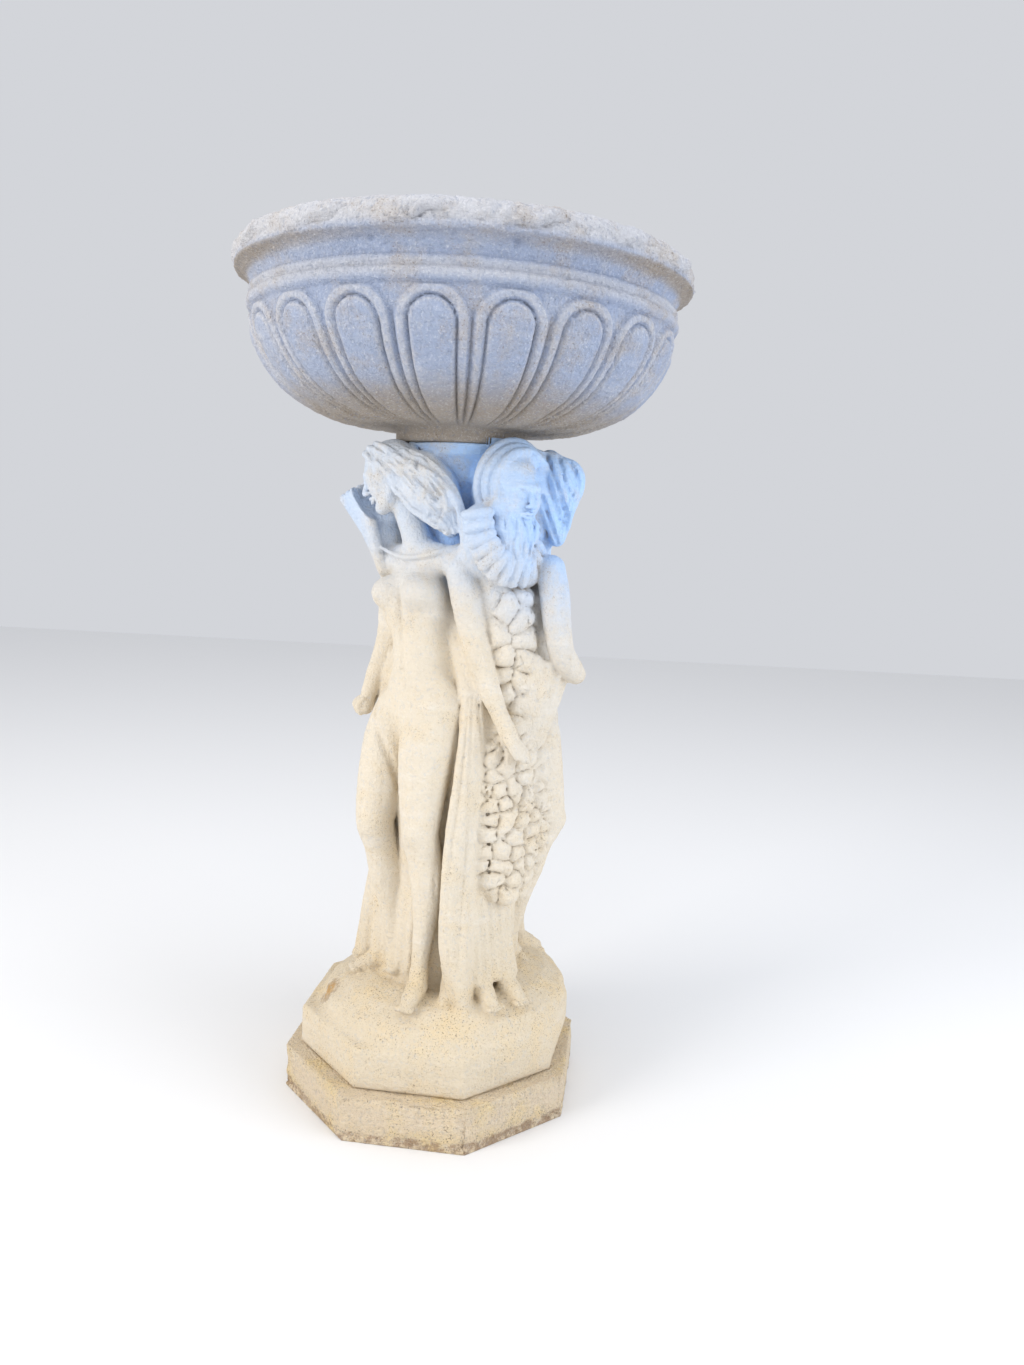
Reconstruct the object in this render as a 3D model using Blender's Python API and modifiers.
"""Cast concrete garden planter: a hollow gadrooned bowl on a pedestal of classical figures.

Three maidens and three herms stand round the pedestal's core on a rocky mound, which is cast
in one with the octagonal block below it. The block stands on an octagonal plinth.
Metres, +Z up, origin at the middle of the plinth's underside, front towards -Y.
"""

import math
import random

import bmesh
import bpy
import numpy as np
from mathutils import Matrix, Vector

OBJECT_NAME = "figural_planter"
MM = 0.001
JOINT_GAP = 0.0003

# Octagonal plinth and block, measured over their corners
PLINTH_RADIUS = 0.168
PLINTH_HEIGHT = 0.0487
BLOCK_RADIUS = 0.1497
BLOCK_TOP = 0.093
CORNER_TURN = math.radians(15.8)
OCTAGON_SIDES = 8

# Pedestal: the figures stand a little right of the block's middle
GROUP_SHIFT = 0.010
MAIDEN_TURN = math.radians(-38)
HERM_TURN = math.radians(38)
THIRD_OF_TURN = math.radians(120)
CARVING_VOXEL = 0.0030
PEDESTAL_KEPT_FACES = 0.025

# Bowl
BOWL_STEPS = 190
BOWL_KEPT_FACES = 0.13
LOBES = 19
LOBE_TURN = math.radians(-4.2)
LOBE_TOP = 0.822
LOBE_BULGE = 0.0055
LOBE_BAND = 0.0035
RIM_LEAVES = 15
RIM_LEAF_DEPTH = 0.0028

CONCRETE = {"bowl": (0.80, 0.82, 0.88), "pedestal": (0.86, 0.83, 0.76), "plinth": (0.82, 0.75, 0.58)}
CONCRETE_ROUGHNESS = 0.85


# Scene and object helpers
def clear_scene():
    for old in list(bpy.data.objects):
        bpy.data.objects.remove(old, do_unlink=True)


def new_collection(name):
    made = bpy.data.collections.new(name)
    bpy.context.scene.collection.children.link(made)
    return made


def new_object(name, mesh, collection):
    made = bpy.data.objects.new(name, mesh)
    collection.objects.link(made)
    return made


def mesh_from(bm, name):
    bmesh.ops.recalc_face_normals(bm, faces=bm.faces)
    mesh = bpy.data.meshes.new(name)
    bm.to_mesh(mesh)
    bm.free()
    return mesh


def evaluated_mesh(owner):
    bpy.context.view_layer.update()
    graph = bpy.context.evaluated_depsgraph_get()
    return bpy.data.meshes.new_from_object(owner.evaluated_get(graph))


def painted_concrete(name):
    made = bpy.data.materials.new(name)
    made.use_nodes = True
    shader = made.node_tree.nodes["Principled BSDF"]
    shader.inputs["Base Color"].default_value = (*CONCRETE[name], 1)
    shader.inputs["Roughness"].default_value = CONCRETE_ROUGHNESS
    shader.inputs["Metallic"].default_value = 0
    return made


# Solid shapes, in millimetres. A group is a list of (points, faces), joined into one mesh at the end
def unit_shape(make):
    bm = bmesh.new()
    make(bm)
    bm.verts.index_update()
    points = np.array([vert.co for vert in bm.verts])
    faces = [[vert.index for vert in face.verts] for face in bm.faces]
    bm.free()
    return points, faces


UNIT_BALL = unit_shape(lambda bm: bmesh.ops.create_uvsphere(bm, u_segments=12, v_segments=8, radius=1))
UNIT_DRUM = unit_shape(
    lambda bm: bmesh.ops.create_cone(bm, cap_ends=True, segments=12, radius1=1, radius2=1, depth=2)
)


def moved(points, matrix):
    matrix = np.array(matrix)
    return points @ matrix[:3, :3].T + matrix[:3, 3]


def ball(centre, radii, turn=(0, 0, 0)):
    spin = Matrix.Rotation(math.radians(turn[2]), 4, "Z")
    spin @= Matrix.Rotation(math.radians(turn[1]), 4, "Y")
    spin @= Matrix.Rotation(math.radians(turn[0]), 4, "X")
    place = Matrix.Translation(Vector(centre)) @ spin @ Matrix.Diagonal((*radii, 1))
    return [(moved(UNIT_BALL[0], place), UNIT_BALL[1])]


def limb(stations):
    """A tapering limb through stations of (x, y, z, radius): round joints with cones between them."""
    group = []
    for station in stations:
        group += ball(station[:3], (station[3],) * 3)
    for start, end in zip(stations, stations[1:]):
        low, high = Vector(start[:3]), Vector(end[:3])
        along = high - low
        aim = Vector((0, 0, 1)).rotation_difference(along).to_matrix().to_4x4()
        points = UNIT_DRUM[0].copy()
        points[:, :2] *= np.where(points[:, 2:] < 0, start[3], end[3])
        points[:, 2] *= along.length / 2
        group.append((moved(points, Matrix.Translation((low + high) / 2) @ aim), UNIT_DRUM[1]))
    return group


def smooth_path(points, steps):
    """A path through the given stations, with steps stations to a stretch (Catmull-Rom)."""
    ends = [points[0]] + list(points) + [points[-1]]
    path = []
    for index in range(1, len(ends) - 2):
        before, start, end, after = (Vector(ends[index + k]) for k in (-1, 0, 1, 2))
        for step in range(steps):
            t = step / steps
            path.append(tuple(
                0.5 * (2 * start + (end - before) * t + (2 * before - 5 * start + 4 * end - after) * t * t
                       + (3 * start - before - 3 * end + after) * t ** 3)
            ))
    path.append(tuple(points[-1]))
    return path


def stand_at(group, turn):
    """The group, made facing the front, turned to its place round the pedestal and scaled to metres."""
    place = Matrix.Translation((GROUP_SHIFT, 0, 0)) @ Matrix.Rotation(turn, 4, "Z") @ Matrix.Scale(MM, 4)
    return [(moved(points, place), faces) for points, faces in group]


def joined_mesh(name, group):
    points = np.concatenate([shape[0] for shape in group])
    faces = []
    start = 0
    for shape in group:
        faces += [[start + index for index in face] for face in shape[1]]
        start += len(shape[0])
    mesh = bpy.data.meshes.new(name)
    mesh.from_pydata(points.tolist(), [], faces)
    return mesh


# Maidens, facing the front: x to the maiden's left, y to the back, z up from the ground
MAIDEN_MASSES = {
    "pelvis": ((8, -62, 437), (45, 31, 46), (0, -8, 0)),
    "belly": ((1, -62, 486), (33, 25, 54), (0, 0, 0)),
    "ribs": ((-7, -64, 540), (40, 27, 49), (0, 4, 0)),
    "right_breast": ((-32, -80, 551), (18, 17, 17), (0, 0, 0)),
    "left_breast": ((12, -82, 555), (18, 17, 17), (0, 0, 0)),
}
MAIDEN_LIMBS = {
    "shoulders": [(-54, -50, 578, 14), (-28, -60, 586, 17), (12, -62, 590, 17), (40, -54, 588, 15)],
    "neck": [(-4, -60, 590, 19), (-12, -66, 618, 16), (-20, -73, 645, 15)],
    "left_arm": [
        (42, -54, 582, 15), (50, -52, 552, 15), (62, -47, 504, 14), (71, -47, 484, 13), (82, -44, 458, 11),
        (92, -38, 434, 9),
    ],
    "standing_leg": [
        (21, -62, 432, 33), (25, -73, 398, 30), (29, -83, 345, 24), (33, -87, 308, 19),
        (38, -79, 262, 18), (38, -79, 222, 14), (36, -82, 185, 10), (37, -85, 150, 11),
    ],
    "standing_foot": [(38, -88, 146, 12), (42, -102, 139, 10), (46, -113, 134, 7)],
    "bent_leg": [
        (-18, -62, 430, 31), (-31, -74, 390, 29), (-30, -84, 340, 24), (-27, -91, 311, 21),
        (-24, -77, 258, 19), (-20, -70, 200, 13), (-17, -66, 166, 12),
    ],
    "bent_foot": [(-17, -66, 160, 12), (-12, -72, 152, 10), (-6, -81, 148, 8)],
}
HEAD_RADII = (24, 29, 34)
CAP_OFFSET = (8, 5, 8)
CAP_RADII = (28, 28, 27)

# Each way of wearing the hair: locks swept over the left shoulder, or curls at the right of the neck
SWEPT_HAIR = [
    [(-40, -88, 688, 6), (-10, -96, 668, 8), (14, -89, 650, 9), (30, -78, 634, 9), (42, -70, 620, 7)],
    [(-16, -82, 692, 7), (10, -83, 684, 9), (28, -76, 670, 10), (40, -68, 650, 10), (46, -62, 624, 7)],
    [(-14, -72, 690, 8), (6, -66, 680, 12), (22, -60, 655, 15), (32, -56, 622, 12)],
    [(0, -64, 674, 19), (12, -60, 645, 20), (18, -58, 612, 18)],
]
CURLED_HAIR = [
    [(-2, -98, 692, 8), (-28, -96, 688, 10), (-42, -98, 666, 10), (-30, -102, 646, 8)],
    [(-26, -68, 694, 10), (-46, -76, 676, 11), (-46, -86, 644, 10), (-34, -88, 616, 7)],
    [(-20, -68, 676, 24), (-26, -64, 640, 20), (-18, -60, 612, 17)],
    [(4, -84, 694, 9), (22, -66, 684, 12), (26, -54, 640, 14)],
]

OPEN_HAND = [(92, -38, 434, 9), (101, -33, 416, 9), (112, -24, 398, 5)]
CLOSED_HAND = [(92, -38, 434, 9), (96, -37, 425, 12)]
HANGING_ARM = [(-55, -48, 578, 14), (-68, -38, 535, 14), (-78, -32, 500, 12), (-84, -40, 460, 11), (-84, -54, 425, 9)]
RAISED_ARM = [
    (-50, -80, 584, 15), (-55, -86, 556, 15), (-55, -90, 526, 15), (-51, -96, 500, 14), (-38, -106, 482, 13),
    (-20, -112, 474, 12),
]

# Cloth behind each maiden, as folds that run down from under the arms
FOLDS = [
    [(30, -52, 526, 8), (50, -61, 485, 8), (62, -65, 420, 9), (64, -76, 310, 9), (62, -84, 200, 9),
     (66, -86, 160, 9)],
    [(40, -46, 522, 8), (60, -56, 470, 9), (69, -57, 406, 9), (69, -67, 300, 10), (73, -76, 196, 10),
     (79, -76, 148, 11)],
    [(50, -40, 520, 8), (65, -42, 460, 9), (68, -46, 350, 9), (72, -57, 250, 10), (80, -64, 190, 10),
     (85, -66, 156, 9)],
    [(40, -36, 530, 12), (54, -40, 430, 19), (58, -46, 330, 20), (58, -52, 240, 21), (62, -56, 150, 22)],
    [(-62, -46, 470, 8), (-64, -50, 400, 10), (-58, -54, 330, 11), (-52, -54, 230, 11), (-50, -58, 148, 12)],
    [(-56, -40, 480, 10), (-60, -40, 400, 13), (-58, -38, 300, 15), (-52, -40, 148, 16)],
    [(2, -58, 330, 15), (6, -60, 240, 15), (11, -63, 148, 17)],
]
# Cloth gathered over the raised arm of the second maiden
GATHERS = [
    [(-58, -74, 488, 9), (-66, -70, 440, 9), (-62, -66, 370, 8)],
    [(-38, -94, 476, 8), (-54, -86, 440, 8), (-58, -76, 385, 6)],
]


def maiden(pose):
    place, turns = pose["head"]
    cap = tuple(a + b for a, b in zip(place, CAP_OFFSET))
    group = ball(place, HEAD_RADII, turns) + ball(cap, CAP_RADII)
    for stations in pose["hair"]:
        group += limb(smooth_path(stations, 2))
    for mass in MAIDEN_MASSES.values():
        group += ball(*mass)
    for stations in [*MAIDEN_LIMBS.values(), pose["hand"], pose["arm"], *pose["gathers"]]:
        group += limb(stations)
    for stations in FOLDS:
        group += limb(smooth_path(stations, 2))
    return group


# Herms, facing the front: a bust in a rolled hood over a pillar hung with a garland
HERM_HEAD = ((-2, -84, 657), (24, 27, 35), (4, 0, 2))
HERM_BEARD = ((-6, -97, 611), (19, 11, 16))
HERM_SHAFT = [(0, -50, 130, 32), (0, -54, 300, 34), (0, -56, 500, 32), (0, -58, 640, 30)]
HERM_FOLDS = [-29, -17, -5, 7, 18]
HOOD_BACK = ((5, -58, 660), (38, 18, 42), (0, 0, 0))
HOOD_CENTRE = (5, 667)
HOOD_ROLLS = [(41, 41, 6, -71), (34, 34, 7, -81)]
COLLAR_RIBS = 11
COLLAR_REACH = (57, 54)
COLLAR_CENTRE = (0, -90, 622)
COLLAR_WEB = ((-8, -71, 608), (46, 22, 42), (0, 0, 0))
COLLAR_FROM = -190
COLLAR_TO = -38

# Middle and half width of the garland at each height: a string of fruit above, a full bunch below
GARLAND_HEIGHTS = [236, 250, 275, 310, 345, 380, 402, 420, 440, 470, 500, 535, 562]
GARLAND_MIDDLES = [11, 12, 16, 19, 18, 15, 14, 17, 18, 14, 10, 7, 5]
GARLAND_HALVES = [20, 35, 47, 54, 53, 47, 38, 29, 27, 27, 27, 26, 20]
GARLAND_BACK = 73
GARLAND_DEPTH = 28
LUMP_SPACING = 14


def garland():
    """Lumps of fruit and leaf in rows on a rounded backing."""
    group = []
    draw = random.Random(7)
    for height in range(GARLAND_HEIGHTS[0] + 10, GARLAND_HEIGHTS[-1], LUMP_SPACING):
        middle = float(np.interp(height, GARLAND_HEIGHTS, GARLAND_MIDDLES))
        half = float(np.interp(height, GARLAND_HEIGHTS, GARLAND_HALVES))
        group += ball((middle, -GARLAND_BACK, height), (half, GARLAND_DEPTH, LUMP_SPACING))
        count = max(3, round(half / 8))
        for index in range(count):
            angle = ((index + 0.5) / count * 2 - 1) * 1.2 + draw.uniform(-0.1, 0.1)
            size = draw.uniform(9, 13)
            centre = (middle + (half - 3) * math.sin(angle), -GARLAND_BACK - (GARLAND_DEPTH - 2) * math.cos(angle),
                      height + draw.uniform(-4, 4))
            group += ball(centre, (size, 8, size * 0.85), (0, 0, math.degrees(angle)))
    return group


def rolled_hood():
    group = ball(*HOOD_BACK)
    for across, up, thick, depth in HOOD_ROLLS:
        arc = []
        for step in range(13):
            angle = math.radians(-38 + 256 * step / 12)
            x = HOOD_CENTRE[0] + across * math.cos(angle)
            z = HOOD_CENTRE[1] + up * math.sin(angle)
            arc.append((x, depth, z, thick))
        group += limb(arc)
    return group


def ribbed_collar():
    """A fan of ribs that spreads from the chin over the breast."""
    group = ball(*COLLAR_WEB) + ball(*HERM_BEARD)
    for index in range(COLLAR_RIBS):
        angle = math.radians(COLLAR_FROM + (COLLAR_TO - COLLAR_FROM) * index / (COLLAR_RIBS - 1))
        across, down = math.cos(angle), math.sin(angle)
        tip = (COLLAR_REACH[0] * across, -82 + 14 * down, COLLAR_CENTRE[2] + COLLAR_REACH[1] * down, 5)
        half = (tip[0] * 0.6, -94 + 6 * down, COLLAR_CENTRE[2] + COLLAR_REACH[1] * down * 0.6, 6)
        group += limb([(*COLLAR_CENTRE, 8), half, tip])
    return group


def jutting_collar():
    """The collar of the herm at the left, which stands out from the breast as a wedge."""
    group = limb([(0, -76, 580, 14), (0, -86, 615, 18), (0, -98, 636, 16)])
    for step in range(-4, 5):
        rim = (8 * step, -127 + 5 * abs(step), 652 + 3.6 * abs(step), 6.5)
        group += limb([(2.5 * step, -84, 574, 7), (5.5 * step, -103 + 1.5 * abs(step), 612, 7), rim])
    return group


def bare_foot(heel, toes, toe_count=5):
    group = limb([(*heel, 12), (*toes, 9)])
    for index in range(toe_count):
        side = (index / (toe_count - 1) - 0.5) * 18
        group += ball((toes[0] + side, toes[1] - 9, toes[2] - 3), (3.2, 6, 4))
    return group


def herm_body():
    group = ball(*HERM_HEAD) + limb(HERM_SHAFT) + rolled_hood()
    for x in HERM_FOLDS:
        group += limb([(x * 1.3, -70, 290, 9), (x, -78, 240, 8), (x * 0.95, -90, 156, 9)])
    group += bare_foot((-20, -98, 145), (-21, -114, 136))
    group += bare_foot((12, -100, 145), (12, -117, 136))
    return group


# Core of the pedestal and its ground
CORE_PROFILE = [(0, 100), (78, 100), (76, 200), (74, 300), (73, 420), (66, 500), (58, 560), (48, 600), (0, 600)]
NECK_PROFILE = [
    (0, 570), (50, 570), (48, 640), (50, 664), (53, 668), (52, 680), (57, 690), (62, 694), (62, 699), (64, 702),
    (64, 712), (0, 712),
]
# What the bowl needs free above the pedestal
SEAT_PROFILE = [(0, 705), (67, 705), (67, 715.6), (72, 719), (94, 723), (130, 731), (130, 770), (0, 770)]
MOUND_PROFILE = [(0, 62), (132, 62), (137, 80), (134, 98), (124, 117), (108, 130), (88, 137), (0, 140)]
MOUND_LEAN = 0.06
ROCK_BUMPS = 26


def turned(profile, segments):
    """A turned solid from a profile of (radius, height) that starts and ends on the axis."""
    angles = np.arange(segments) * math.tau / segments
    points = [(r * math.cos(a), r * math.sin(a), z) for r, z in profile[1:-1] for a in angles]
    points += [(0, 0, profile[0][1]), (0, 0, profile[-1][1])]
    faces = []
    for step in range(segments):
        beside = (step + 1) % segments
        for ring in range(len(profile) - 3):
            low, high = ring * segments, (ring + 1) * segments
            faces.append([low + step, low + beside, high + beside, high + step])
        top = (len(profile) - 3) * segments
        faces.append([beside, step, len(points) - 2])
        faces.append([top + step, top + beside, len(points) - 1])
    return [(np.array(points), faces)]


def mound():
    group = turned(MOUND_PROFILE, 48)
    draw = random.Random(3)
    for _ in range(ROCK_BUMPS):
        angle = draw.uniform(0, math.tau)
        reach = draw.uniform(70, 118)
        top = 136 - max(0, reach - 90) * 0.6
        centre = (reach * math.cos(angle), reach * math.sin(angle), top - 14)
        group += ball(centre, (26, 22, draw.uniform(12, 17)))
    for points, _ in group:
        points[:, 2] += MOUND_LEAN * points[:, 0] * np.clip((points[:, 2] - 70) / 50, 0, 1)
    return group


# Each maiden's pose: further turn in degrees, lean outwards from the feet to the hips, head, hair and arms
MAIDENS = [
    {"turn": 0, "out": 0, "head": ((-31, -77, 665), (22, -8, -50)), "hair": SWEPT_HAIR, "arm": HANGING_ARM,
     "hand": OPEN_HAND, "gathers": []},
    {"turn": 5, "out": 14, "head": ((-20, -82, 663), (14, 6, 56)), "hair": CURLED_HAIR, "arm": RAISED_ARM,
     "hand": OPEN_HAND, "gathers": GATHERS},
    {"turn": 0, "out": -4, "head": ((-31, -77, 663), (22, -8, -50)), "hair": SWEPT_HAIR, "arm": HANGING_ARM,
     "hand": CLOSED_HAND, "gathers": []},
]
FOOT_LEVEL = 150
HIP_LEVEL = 420

# The herm at the left is set back, with its garland set back further and turned away
JUTTING_HERM = 2
JUTTING_RECESS = 14
JUTTING_GARLAND_RECESS = 18
JUTTING_GARLAND_TURN = math.radians(-14)


def pushed_out(group, out):
    return [(points - np.array((0, out, 0)), faces) for points, faces in group]


def leaned_out(group, out):
    """Shifted outwards at the hips and above, less below them and not at all at the feet."""
    made = []
    for points, faces in group:
        share = np.clip((points[:, 2] - FOOT_LEVEL) / (HIP_LEVEL - FOOT_LEVEL), 0, 1)
        leaned = points.copy()
        leaned[:, 1] -= out * share
        made.append((leaned, faces))
    return made


def figures():
    group = []
    for index, pose in enumerate(MAIDENS):
        stand = MAIDEN_TURN + index * THIRD_OF_TURN + math.radians(pose["turn"])
        group += stand_at(leaned_out(maiden(pose), pose["out"]), stand)
    for index in range(len(MAIDENS)):
        stand = HERM_TURN + index * THIRD_OF_TURN
        if index == JUTTING_HERM:
            group += stand_at(pushed_out(herm_body(), -JUTTING_RECESS) + jutting_collar(), stand)
            group += stand_at(pushed_out(garland(), -JUTTING_GARLAND_RECESS), stand + JUTTING_GARLAND_TURN)
        else:
            group += stand_at(herm_body() + ribbed_collar() + garland(), stand)
    return group


def boolean(owner, name, operation, other):
    made = owner.modifiers.new(name, "BOOLEAN")
    made.operation = operation
    made.object = other
    other.hide_render = True
    other.display_type = "WIRE"


def outer_skin(mesh):
    """The mesh without the small closed hollows that lie inside its largest skin."""
    bm = bmesh.new()
    bm.from_mesh(mesh)
    waiting = [max(bm.verts, key=lambda vert: vert.co.z)]
    reached = set(waiting)
    while waiting:
        for edge in waiting.pop().link_edges:
            for vert in edge.verts:
                if vert not in reached:
                    reached.add(vert)
                    waiting.append(vert)
    inside = [vert for vert in bm.verts if vert not in reached]
    bmesh.ops.delete(bm, geom=inside, context="VERTS")
    return mesh_from(bm, mesh.name)


def pedestal(part, cutters):
    stem = stand_at(mound() + turned(CORE_PROFILE, 48) + turned(NECK_PROFILE, 48), 0)
    made = new_object("pedestal", joined_mesh("pedestal", stem + figures()), part)
    carve = made.modifiers.new("join the carving", "REMESH")
    carve.mode = "VOXEL"
    carve.voxel_size = CARVING_VOXEL
    made.data = outer_skin(evaluated_mesh(made))
    made.modifiers.clear()
    soften = made.modifiers.new("soften the carving", "SMOOTH")
    soften.factor = 0.5
    soften.iterations = 4
    thin = made.modifiers.new("keep few faces", "DECIMATE")
    thin.ratio = PEDESTAL_KEPT_FACES
    block = octagon("block", BLOCK_RADIUS, PLINTH_HEIGHT + JOINT_GAP, BLOCK_TOP, cutters)
    boolean(made, "join the block", "UNION", block)
    scaled = [(points * MM, faces) for points, faces in turned(SEAT_PROFILE, 48)]
    seat = new_object("bowl seat", joined_mesh("bowl seat", scaled), cutters)
    boolean(made, "seat the bowl", "DIFFERENCE", seat)
    return made


def octagon(name, radius, low, high, collection):
    bm = bmesh.new()
    place = Matrix.Translation((0, 0, (low + high) / 2)) @ Matrix.Rotation(CORNER_TURN, 4, "Z")
    bmesh.ops.create_cone(
        bm, cap_ends=True, segments=OCTAGON_SIDES, radius1=radius, radius2=radius, depth=high - low,
        matrix=place @ Matrix.Rotation(-math.pi / 2, 4, "Z"),
    )
    made = new_object(name, mesh_from(bm, name), collection)
    worn = made.modifiers.new("worn edges", "BEVEL")
    worn.width = 0.003
    worn.segments = 1
    return made


# Bowl
BOWL_FLOOR_MIDDLE = (0, 744)
BOWL_INSIDE = [(62, 744), (115, 752), (155, 770), (178, 792), (189, 816), (195, 846), (198, 874), (203, 886)]
BOWL_RIM = [
    (212, 890), (222, 889), (230, 884.5), (233.5, 877), (233.5, 867), (231.5, 862.5), (225, 860), (219, 855.5),
    (215, 850.5), (213, 845.5), (216.5, 844), (217.5, 840), (214.5, 836), (218, 834), (219.5, 829.5), (217.5, 825),
]
BOWL_BELLY = [
    (213, 822), (210, 806), (204, 791), (194.5, 774.5), (180.5, 758.5), (165, 747), (145, 737.5), (120, 729.5),
    (94, 723.5), (72, 719.5),
]
BOWL_FOOT = [(66.4, 716), (66.4, 708), (64, 705.3), (0, 705.3)]


def bowl_profile():
    inside = smooth_path([(r, 0, z, 0) for r, z in BOWL_INSIDE], 2)
    belly = smooth_path([(r, 0, z, 0) for r, z in BOWL_BELLY], 4)
    return [BOWL_FLOOR_MIDDLE] + [(s[0], s[2]) for s in inside] + BOWL_RIM + [(s[0], s[2]) for s in belly] + BOWL_FOOT


def lobe_relief(azimuth, radius, height):
    """How far the gadroons stand out of the belly: a convex tongue in an arched band."""
    pitch = math.tau / LOBES
    phase = (azimuth - LOBE_TURN) / pitch
    across = abs(phase - round(phase)) * 2
    down = (LOBE_TOP - height) / 0.030
    arch = math.hypot(across, max(0, 1 - down) * 0.88)
    fade = min(1, max(0, (radius - 0.075) / 0.05)) * min(1, max(0, (LOBE_TOP - height) / 0.002))
    if arch < 0.60:
        return fade * LOBE_BULGE * math.sqrt(1 - (arch / 0.66) ** 2)
    if 0.64 < arch < 0.88:
        return fade * LOBE_BAND * math.sqrt(1 - ((arch - 0.76) / 0.13) ** 2)
    return 0


def rim_relief(azimuth, radius, height):
    """Running leaves round the rim, each one cut off by the slanting edge of the next."""
    low, high = 0.864, 0.888
    if radius < 0.222 or not low < height < high:
        return 0
    up = (height - low) / (high - low)
    along = (azimuth * RIM_LEAVES / math.tau + 0.12 * (up - 0.5)) % 1
    edge = min(1, along * 14) * min(1, (1 - along) * 14)
    blade = 1 - abs(up - 0.25 - 0.5 * math.sin(math.pi * along)) * 1.2
    return RIM_LEAF_DEPTH * (edge * max(0, blade) - 0.5) * math.sin(math.pi * up)


def bowl(part):
    profile = bowl_profile()
    line = bpy.data.meshes.new("bowl profile")
    edges = [(index, index + 1) for index in range(len(profile) - 1)]
    line.from_pydata([(r * MM, 0, z * MM) for r, z in profile], edges, [])
    blank = new_object("bowl blank", line, part)
    lathe = blank.modifiers.new("turn", "SCREW")
    lathe.steps = BOWL_STEPS
    lathe.render_steps = BOWL_STEPS
    lathe.use_merge_vertices = True
    lathe.merge_threshold = 0.00001
    lathe.use_normal_calculate = True
    mesh = evaluated_mesh(blank)
    bpy.data.objects.remove(blank, do_unlink=True)
    outward = [vertex.normal.copy() for vertex in mesh.vertices]
    for vertex, normal in zip(mesh.vertices, outward):
        radius = math.hypot(vertex.co.x, vertex.co.y)
        azimuth = math.atan2(vertex.co.x, -vertex.co.y)
        height = vertex.co.z
        if normal.z > 0.7 or radius < 0.07:
            continue
        if radius > 0.2 and height > LOBE_TOP + 0.02:
            vertex.co += normal * rim_relief(azimuth, radius, height)
        elif normal.x * vertex.co.x + normal.y * vertex.co.y > 0 or normal.z < -0.5:
            vertex.co += normal * lobe_relief(azimuth, radius, height)
    made = new_object("bowl", mesh, part)
    thin = made.modifiers.new("keep few faces", "DECIMATE")
    thin.ratio = BOWL_KEPT_FACES
    return made


def main():
    clear_scene()
    part = new_collection(OBJECT_NAME)
    cutters = new_collection("cutters")
    pieces = [
        octagon("plinth", PLINTH_RADIUS, 0, PLINTH_HEIGHT, part),
        pedestal(part, cutters),
        bowl(part),
    ]
    for piece in pieces:
        piece.data.materials.clear()
        piece.data.materials.append(painted_concrete(piece.name))


main()
